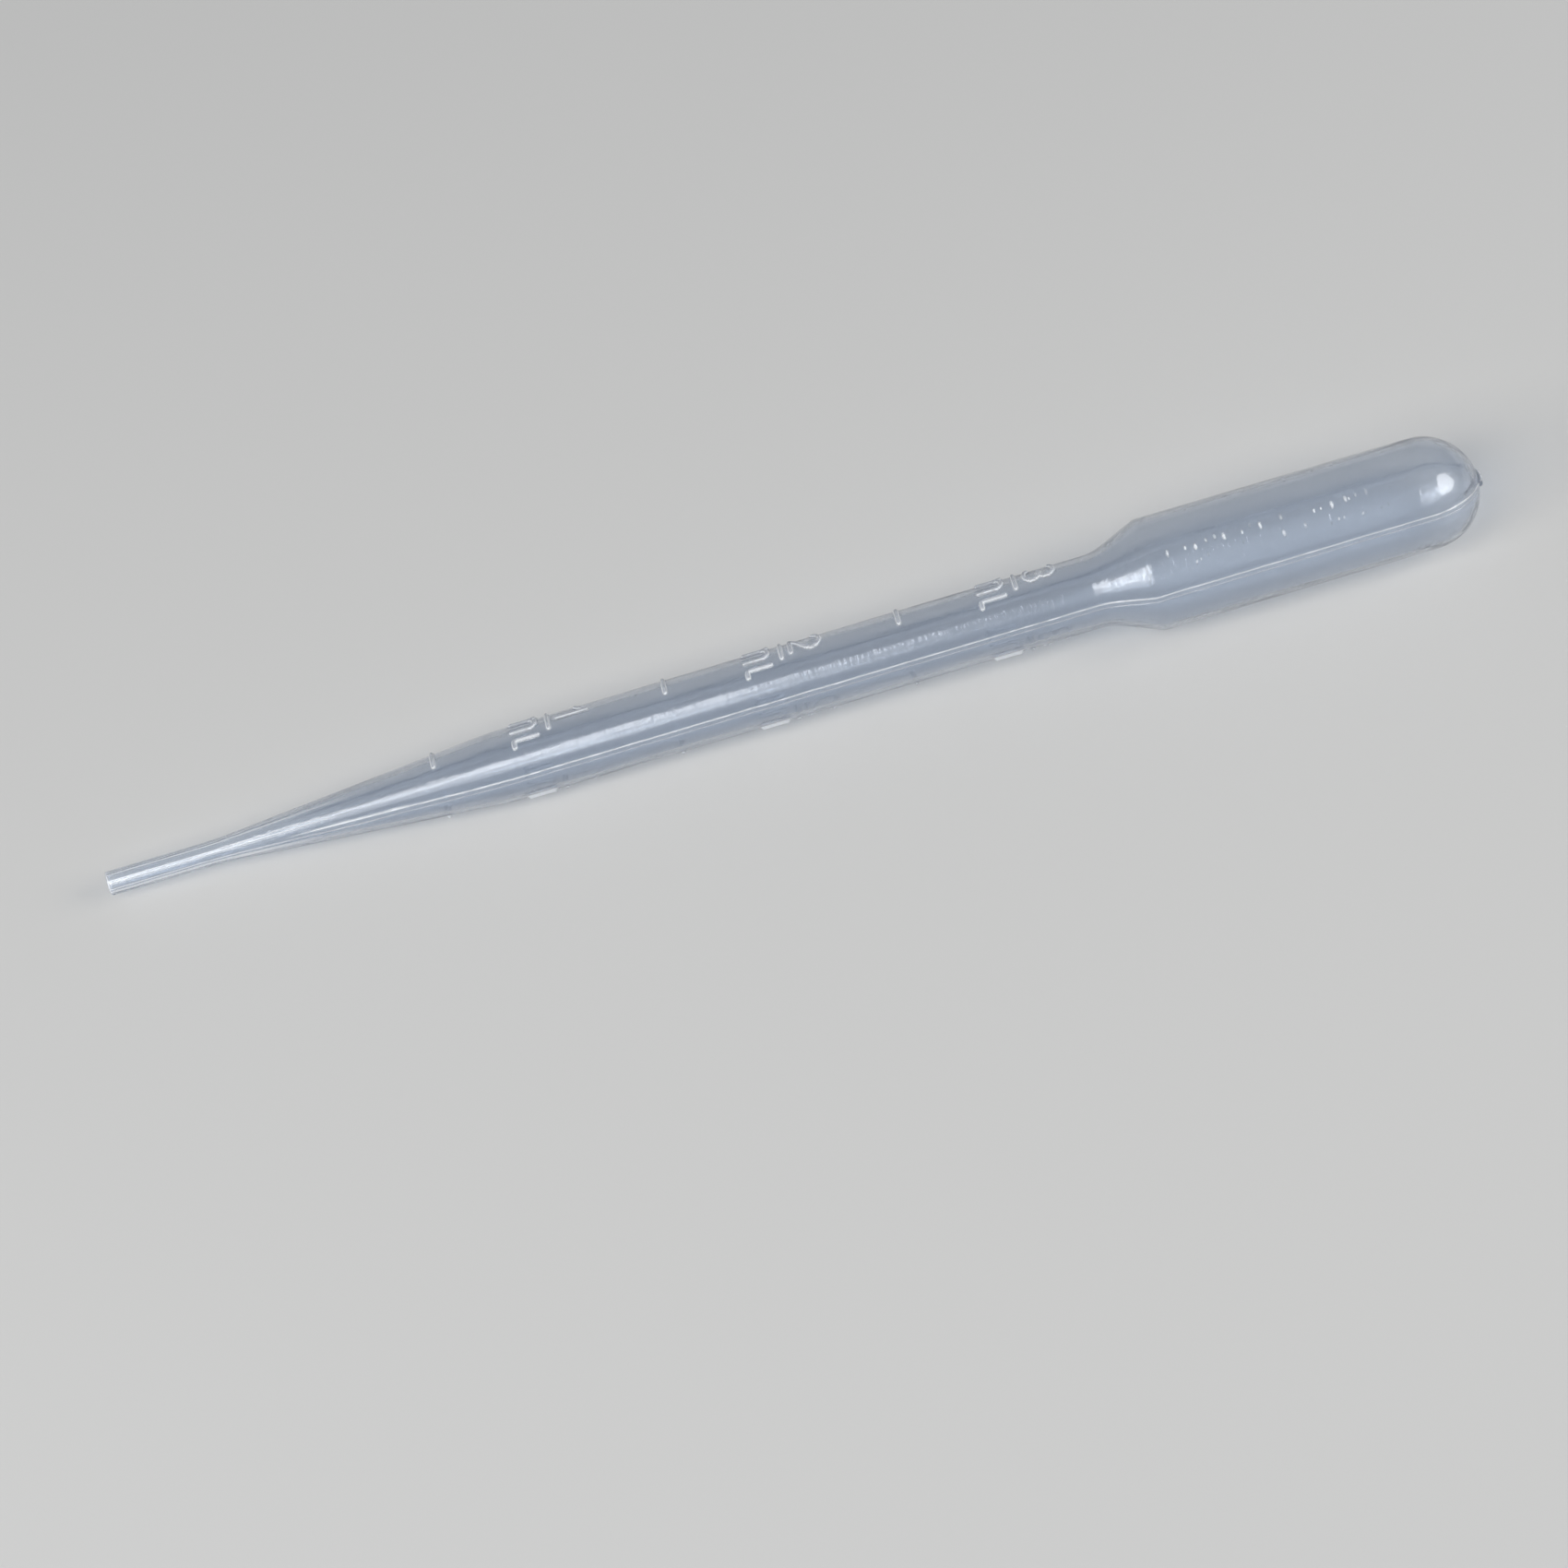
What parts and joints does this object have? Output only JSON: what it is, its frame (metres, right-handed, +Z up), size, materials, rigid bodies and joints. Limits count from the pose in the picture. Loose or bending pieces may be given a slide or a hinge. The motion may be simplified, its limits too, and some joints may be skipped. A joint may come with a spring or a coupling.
{
  "type": "dropper pipette",
  "caption": "One-piece transfer dropper: a hollow graduated stem with a fine open tip, a long taper and a closed squeeze bulb, lying on its side.",
  "frame": {"origin": "on the table, under the middle of the pipette's length, where it lies at rest", "axes": "+X from the tip towards the bulb, +Z up; the axis of the pipette lies in the XZ plane and rises by 1.6 degrees towards the bulb"},
  "size_m": [0.155, 0.0124, 0.0132],
  "materials": {
    "pipette": "milky, half-clear low-density polyethylene, blow-moulded, with a soft gloss"
  },
  "bodies": {
    "root": {"pipette": "pipette"}
  },
  "joints": []
}
